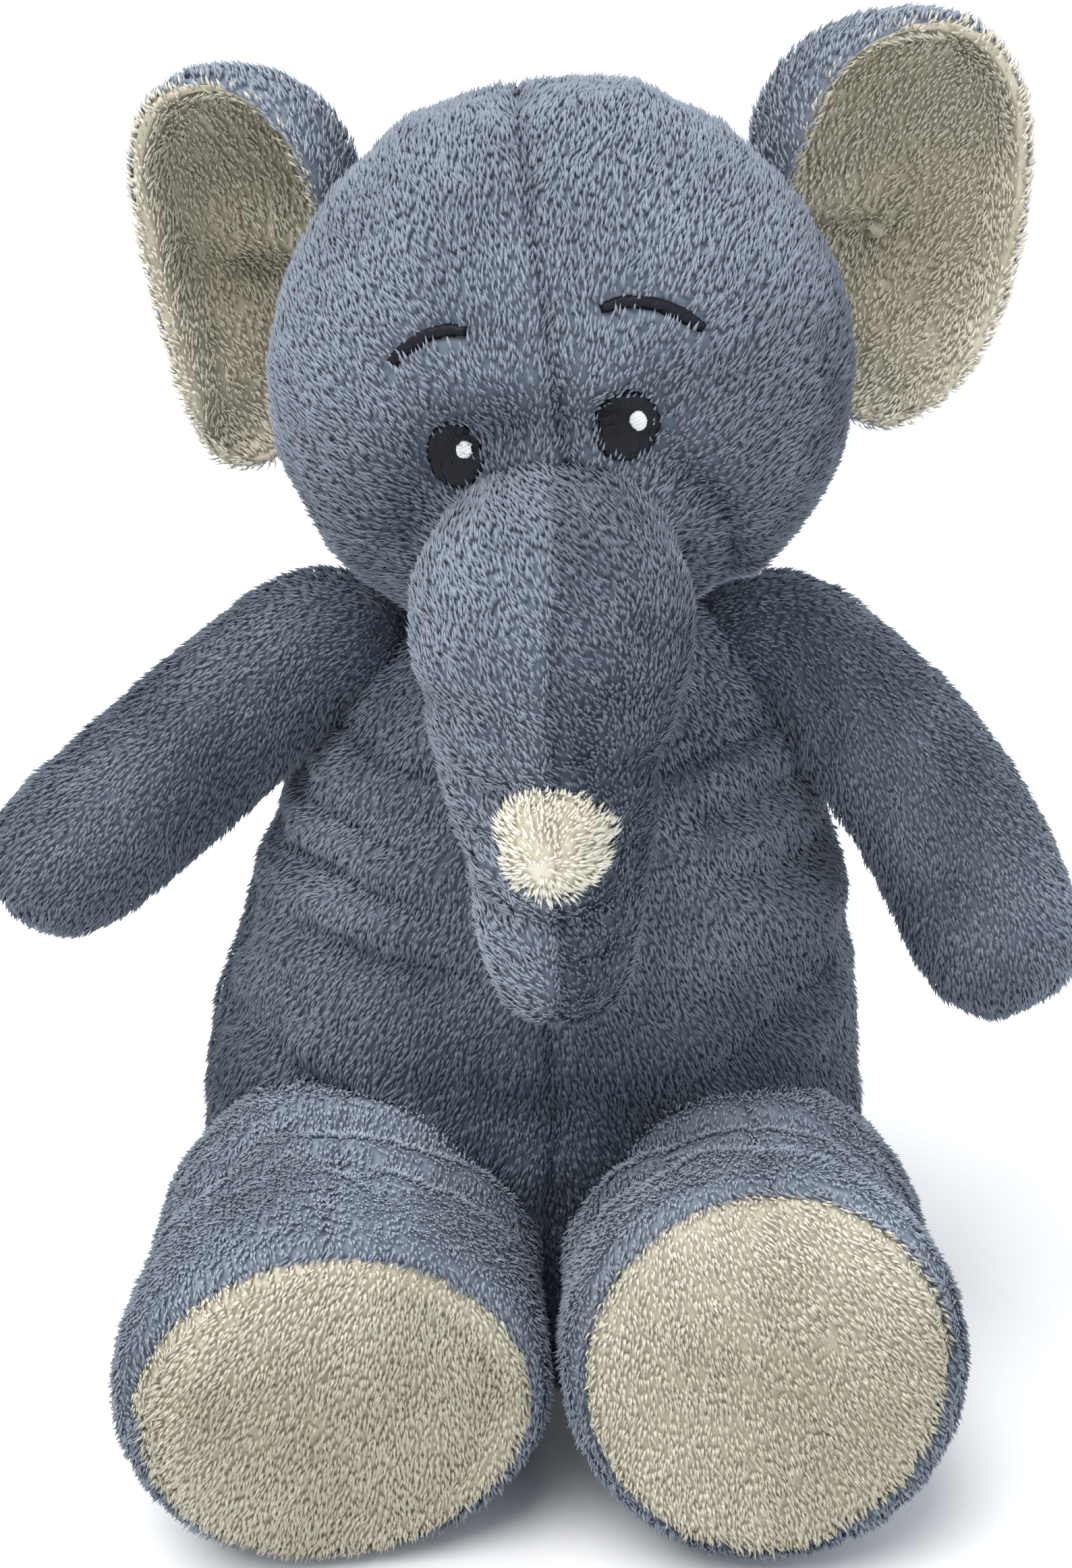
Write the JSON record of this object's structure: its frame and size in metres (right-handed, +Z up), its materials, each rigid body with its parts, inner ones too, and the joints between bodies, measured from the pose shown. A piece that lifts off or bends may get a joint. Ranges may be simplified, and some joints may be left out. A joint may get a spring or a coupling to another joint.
{
  "type": "plush elephant",
  "caption": "Seated soft plush elephant with a hanging trunk, cupped cream-lined ears, cream soles and embroidered eyes; head, trunk, ears, arms, legs and tail move.",
  "frame": {"origin": "centre of the flat seat panel on the toy's underside", "axes": "+Z up; the toy faces -Y; its own left side is +X"},
  "size_m": [0.2721, 0.2113, 0.3466],
  "materials": {
    "grey_plush": "short grey minky plush",
    "cream_plush": "cream minky plush",
    "ivory_plush": "ivory long-pile plush",
    "black_embroidery": "satin stitch",
    "white_embroidery": "satin stitch",
    "grey_thread": "polyester thread",
    "label_satin": "blank satin ribbon",
    "stuffing": "polyester fibre fill",
    "bean_canvas": "cotton bag of plastic pellets"
  },
  "bodies": {
    "torso": {"torso_front_left": "grey_plush", "torso_front_right": "grey_plush", "chest_yoke": "grey_plush", "torso_back_left": "grey_plush", "torso_back_right": "grey_plush", "seat_panel": "grey_plush", "torso_stuffing": "stuffing", "bean_pouch": "bean_canvas", "closing_stitches": "grey_thread", "care_label": "label_satin"},
    "neck": {"neck_wadding": "grey_plush"},
    "head": {"head_front_left": "grey_plush", "head_front_right": "grey_plush", "head_back_left": "grey_plush", "head_back_right": "grey_plush", "head_stuffing": "stuffing", "eye_left": "black_embroidery", "eye_right": "black_embroidery", "eye_glint_left": "white_embroidery", "eye_glint_right": "white_embroidery", "eyebrow_left": "black_embroidery", "eyebrow_right": "black_embroidery"},
    "trunk_upper": {"trunk_upper_left": "grey_plush", "trunk_upper_right": "grey_plush", "trunk_upper_stuffing": "stuffing"},
    "trunk_tip": {"trunk_tip_left": "grey_plush", "trunk_tip_right": "grey_plush", "trunk_patch": "ivory_plush", "trunk_tip_stuffing": "stuffing"},
    "ear_left": {"ear_left_outer": "grey_plush", "ear_left_inner": "cream_plush"},
    "ear_right": {"ear_right_outer": "grey_plush", "ear_right_inner": "cream_plush"},
    "shoulder_left": {"shoulder_left_wadding": "stuffing"},
    "arm_left": {"arm_left_front": "grey_plush", "arm_left_back": "grey_plush", "arm_left_stuffing": "stuffing"},
    "shoulder_right": {"shoulder_right_wadding": "stuffing"},
    "arm_right": {"arm_right_front": "grey_plush", "arm_right_back": "grey_plush", "arm_right_stuffing": "stuffing"},
    "hip_left": {"hip_left_wadding": "stuffing"},
    "leg_left": {"leg_left_outer": "grey_plush", "leg_left_inner": "grey_plush", "sole_left": "cream_plush", "leg_left_stuffing": "stuffing", "foot_left_pellets": "bean_canvas"},
    "hip_right": {"hip_right_wadding": "stuffing"},
    "leg_right": {"leg_right_outer": "grey_plush", "leg_right_inner": "grey_plush", "sole_right": "cream_plush", "leg_right_stuffing": "stuffing", "foot_right_pellets": "bean_canvas"},
    "tail": {"tail": "grey_plush"}
  },
  "joints": [
    {"name": "neck_turn", "type": "hinge", "parent": "torso", "child": "neck", "pos_m": [0, -0.004, 0.196], "axis": [0, 0, 1], "range_deg": [-32, 32]},
    {"name": "neck_nod", "type": "hinge", "parent": "neck", "child": "head", "pos_m": [0, -0.004, 0.196], "axis": [1, 0, 0], "range_deg": [-14, 6]},
    {"name": "trunk_lift", "type": "hinge", "parent": "head", "child": "trunk_upper", "pos_m": [0.001, -0.084, 0.231], "axis": [-1, 0, 0], "range_deg": [0, 50]},
    {"name": "trunk_curl", "type": "hinge", "parent": "trunk_upper", "child": "trunk_tip", "pos_m": [0.00223, -0.089, 0.19031], "axis": [-1, 0, 0], "range_deg": [0, 28]},
    {"name": "ear_left_fold", "type": "hinge", "parent": "head", "child": "ear_left", "pos_m": [0.06111, -0.006, 0.27944], "axis": [0.3746, 0, -0.9272], "range_deg": [-20, 20]},
    {"name": "ear_right_fold", "type": "hinge", "parent": "head", "child": "ear_right", "pos_m": [-0.05899, -0.006, 0.26041], "axis": [0.0698, 0, 0.9976], "range_deg": [-20, 20]},
    {"name": "shoulder_left_swing", "type": "hinge", "parent": "torso", "child": "shoulder_left", "pos_m": [0.066, -0.002, 0.185], "axis": [-1, 0, 0], "range_deg": [-25, 60]},
    {"name": "shoulder_left_raise", "type": "hinge", "parent": "shoulder_left", "child": "arm_left", "pos_m": [0.066, -0.002, 0.185], "axis": [0, -1, 0], "range_deg": [-2, 50]},
    {"name": "shoulder_right_swing", "type": "hinge", "parent": "torso", "child": "shoulder_right", "pos_m": [-0.066, -0.002, 0.185], "axis": [-1, 0, 0], "range_deg": [-25, 60]},
    {"name": "shoulder_right_raise", "type": "hinge", "parent": "shoulder_right", "child": "arm_right", "pos_m": [-0.066, -0.002, 0.185], "axis": [0, 1, 0], "range_deg": [-2, 50]},
    {"name": "hip_left_lift", "type": "hinge", "parent": "torso", "child": "hip_left", "pos_m": [0.05, -0.049, 0.044], "axis": [-1, 0, 0], "range_deg": [-20, 16]},
    {"name": "hip_left_spread", "type": "hinge", "parent": "hip_left", "child": "leg_left", "pos_m": [0.05, -0.049, 0.044], "axis": [0, 0, 1], "range_deg": [-3, 18]},
    {"name": "hip_right_lift", "type": "hinge", "parent": "torso", "child": "hip_right", "pos_m": [-0.05, -0.049, 0.044], "axis": [-1, 0, 0], "range_deg": [-20, 16]},
    {"name": "hip_right_spread", "type": "hinge", "parent": "hip_right", "child": "leg_right", "pos_m": [-0.05, -0.049, 0.044], "axis": [0, 0, -1], "range_deg": [-3, 18]},
    {"name": "tail_wag", "type": "hinge", "parent": "torso", "child": "tail", "pos_m": [0, 0.06249, 0.066], "axis": [0, 1, 0], "range_deg": [-35, 35]}
  ]
}
